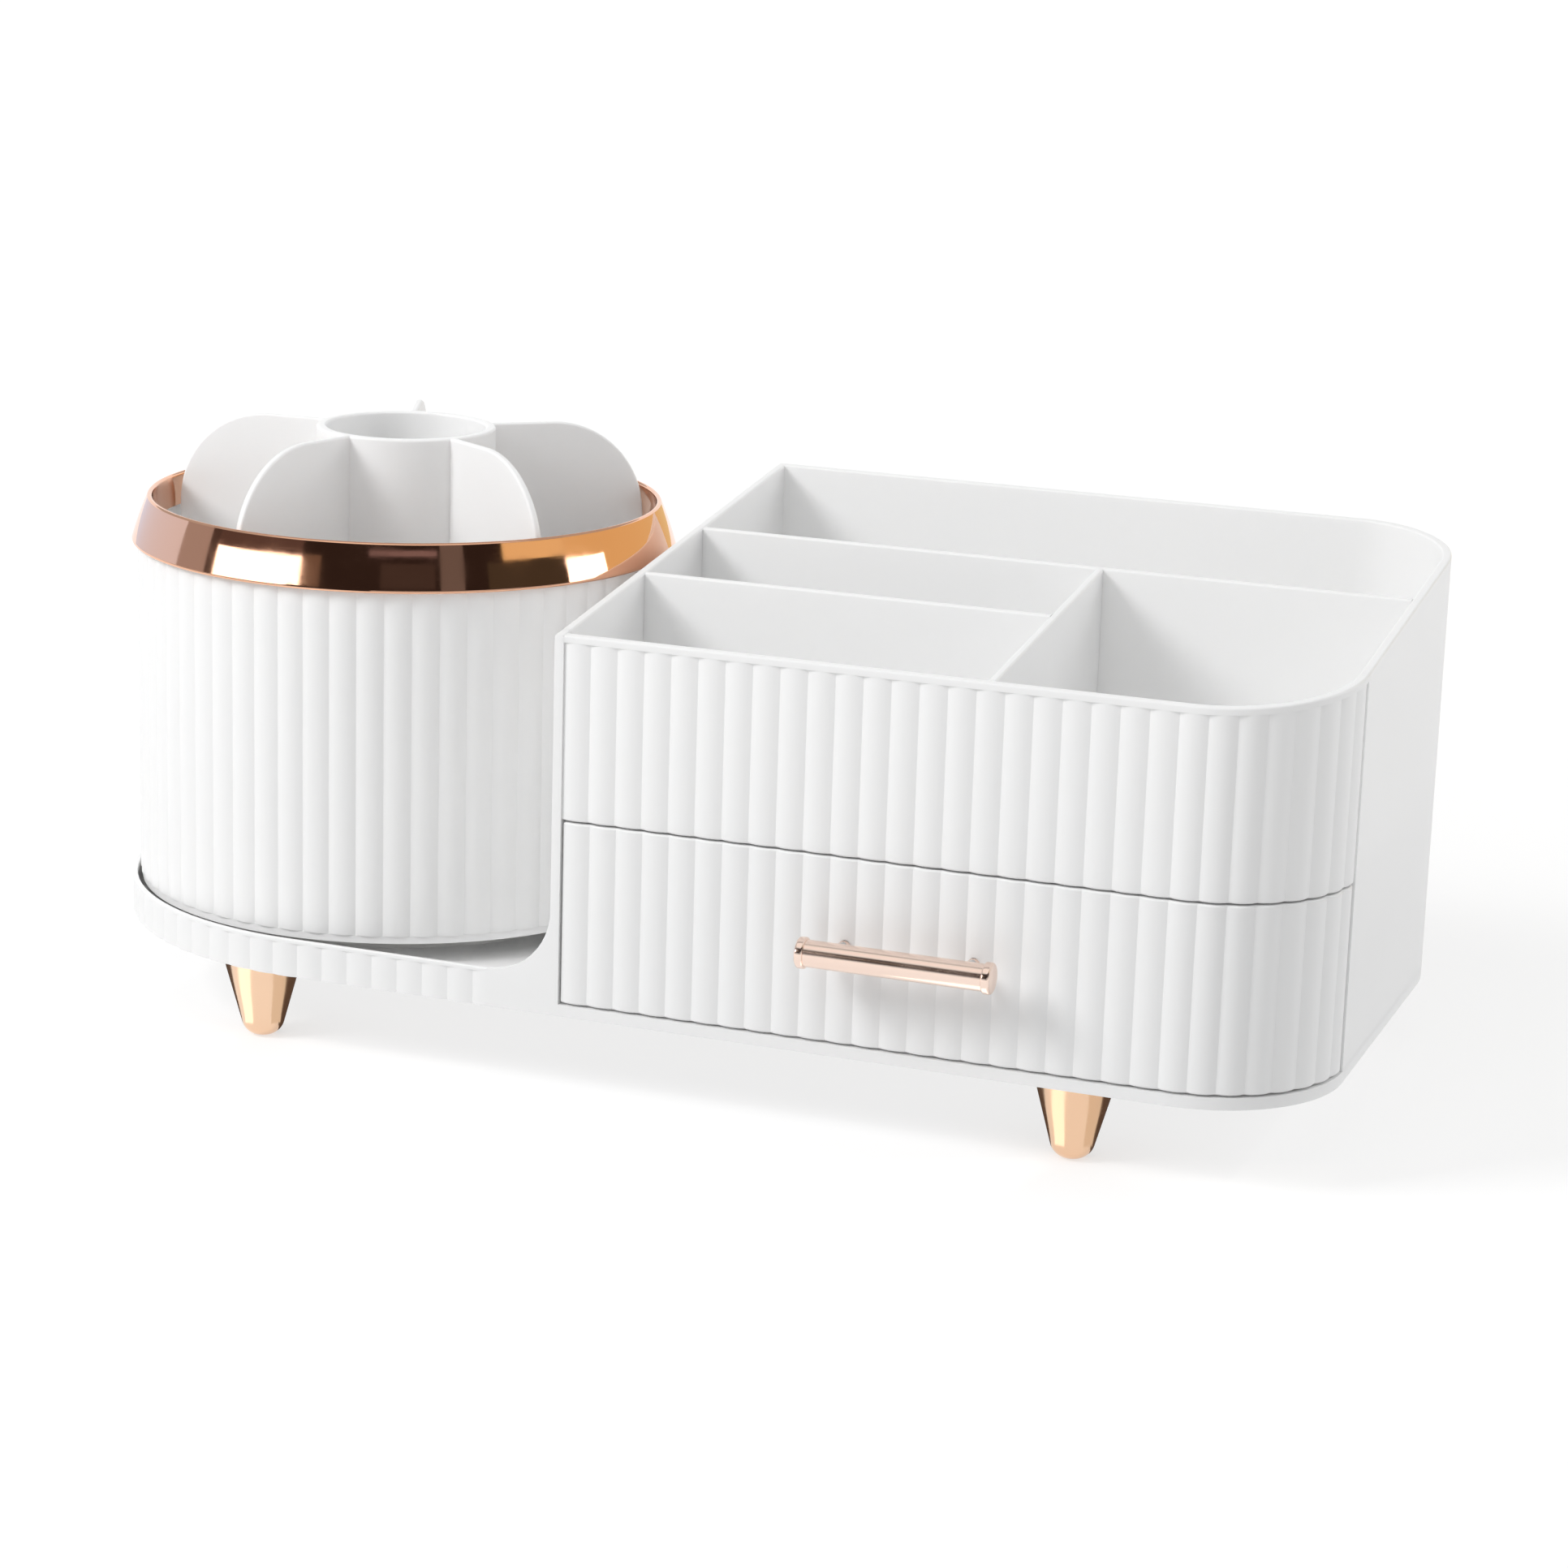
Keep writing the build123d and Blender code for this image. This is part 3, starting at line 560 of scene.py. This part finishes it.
def mirrored_in_ring(turn, share, distance):
    """Where the lens looks by way of the ring: turn from its nearest point, share of its height."""
    angle = ring_facing + math.radians(turn)
    tilt = band_lean + band_bow * (2.0 * share - 1.0)
    radius = band_foot[0] + (band_top[0] - band_foot[0]) * share
    height = band_foot[1] + (band_top[1] - band_foot[1]) * share
    spot = ring_foot + Vector((radius * math.cos(angle), radius * math.sin(angle), height))
    normal = Vector((math.cos(tilt) * math.cos(angle), math.cos(tilt) * math.sin(angle), math.sin(tilt)))
    return spot + (spot - camera_place).normalized().reflect(normal) * distance


def ring_card(turn, turn_end, share, share_end, distance):
    across = max(2, round((turn_end - turn) / 2.0))
    up = 4
    corners = [mirrored_in_ring(turn + (turn_end - turn) * i / across,
                                share + (share_end - share) * j / up, distance)
               for j in range(up + 1) for i in range(across + 1)]
    return corners, quads(across, up)


black = (0.030, 0.022, 0.020)
white_card = (4.0, 3.9, 3.8)
amber = (0.84, 0.66, 0.33)
ring_cards = [
    ("card_left_cool", -88.0, -54.0, -0.3, 1.3, (0.80, 0.90, 1.10)),
    ("card_left_brown", -54.0, -45.0, -0.3, 1.3, (0.42, 0.40, 0.42)),
    ("card_left_edge", -45.0, -42.5, -0.3, 1.3, (0.08, 0.06, 0.055)),
    ("card_left_white", -42.5, -21.7, -0.3, 0.66, white_card),
    ("card_left_high", -42.5, -21.7, 0.66, 1.3, (0.11, 0.08, 0.075)),
    ("card_front", -21.7, 35.2, -0.3, 1.3, black),
    ("card_right_white", 35.2, 46.0, -0.3, 0.55, white_card),
    ("card_right_high", 35.2, 46.0, 0.55, 1.3, amber),
    ("card_right_amber", 46.0, 88.0, -0.3, 1.3, amber),
]
near_cards = [
    ("card_door_edge", -21.7, -17.5, 0.0, 0.7, (0.17, 0.13, 0.10)),
    ("card_shelf", -7.5, 6.5, 0.74, 0.86, (0.24, 0.20, 0.23)),
    ("card_chair", -5.0, 6.0, 0.10, 0.60, (0.060, 0.048, 0.045)),
    ("card_door", 7.1, 12.0, -0.1, 1.1, (0.16, 0.15, 0.155)),
    ("card_curtain", 17.0, 35.2, -0.1, 0.60, (0.065, 0.058, 0.042)),
    ("card_lamp_glow", 20.5, 35.2, 0.62, 1.1, (0.92, 0.76, 0.42)),
]
for name, *area, colour in ring_cards:
    hang_card(name, *ring_card(*area, far_cards_at), colour)
for name, *area, colour in near_cards:
    hang_card(name, *ring_card(*area, near_cards_at), colour)
print("ring cards", len(ring_cards) + len(near_cards))

# %% [markdown]
# Two more stand round the whole set. A low black one is what the middle of the bar handle
# mirrors, and gives the bar its dark line. A high white one keeps the bar's top half bright.

# %% Cards seen in the handle
def sphere_patch(turn, turn_end, height, height_end, distance=1.2, step=4.0):
    """A patch of a sphere round the middle, between two compass angles and two heights."""
    across = max(1, round((turn_end - turn) / step))
    up = max(1, round((height_end - height) / step))
    corners = []
    for j in range(up + 1):
        tilt = math.radians(height + (height_end - height) * j / up)
        for i in range(across + 1):
            angle = math.radians(turn + (turn_end - turn) * i / across)
            way = Vector((math.cos(tilt) * math.cos(angle), math.cos(tilt) * math.sin(angle),
                          math.sin(tilt)))
            corners.append(bar_end + way * distance)
    return corners, quads(across, up)


hang_card("card_low_black", *sphere_patch(-122.0, -84.0, 9.0, 20.0), black)
hang_card("card_high_white", *sphere_patch(-170.0, 10.0, 46.0, 80.0), (1.0, 0.97, 0.95))
print("handle cards hung")

# %% [markdown]
# The feet taper downwards, so they mirror the table close by. A dark card lies under the body and paints the
# shade there into the feet's mirror images: a painted reflection of shade, which gives the feet their dark
# edges. Beside each front foot a white and a warm card lie on the table.

# %% Cards on the table
wedge_height = 0.0006
under_height = 0.0005
under_inset = 0.02


def table_wedge(tip, turn, turn_end, near=0.008, far=0.06, steps=6):
    """A flat wedge on the table, round a foot's tip."""
    corners = []
    for i in range(steps + 1):
        angle = math.radians(turn + (turn_end - turn) * i / steps)
        for reach in (near, far):
            corners.append((tip.x + reach * math.cos(angle), tip.y + reach * math.sin(angle),
                            wedge_height))
    faces = [(2 * i, 2 * i + 1, 2 * i + 3, 2 * i + 2) for i in range(steps)]
    return corners, faces


# The dark card under the body is painted shade: it stands for the shaded table there, which the feet mirror.
under_low, under_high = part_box("base_frame")
under_left, under_right = under_low[0] + under_inset, under_high[0] - under_inset
under_front = box_middle("foot_front_left").y + 0.001
under_back = under_high[1] - under_inset
under = [(under_left, under_front, under_height), (under_right, under_front, under_height),
         (under_right, under_back, under_height), (under_left, under_back, under_height)]
hang_card("card_painted_shade_under_body", under, [(0, 1, 2, 3)], (0.10, 0.07, 0.055))
for side in ("front_left", "front_right"):
    tip = box_middle("foot_" + side)
    hang_card("card_white_" + side, *table_wedge(tip, -150.0, -104.0), (1.7, 1.66, 1.6))
    hang_card("card_amber_" + side, *table_wedge(tip, -30.0, 20.0), (0.80, 0.74, 0.66))
print("table cards hung")

# %% [markdown]
# The picture is meant for a white page, so it keeps the plain display curve: a softer curve would
# grey the paper and wash out the gold.

# %% Display curve
bpy.context.scene.view_settings.view_transform = "Standard"
bpy.context.scene.view_settings.look = "None"
print("display curve", bpy.context.scene.view_settings.view_transform)
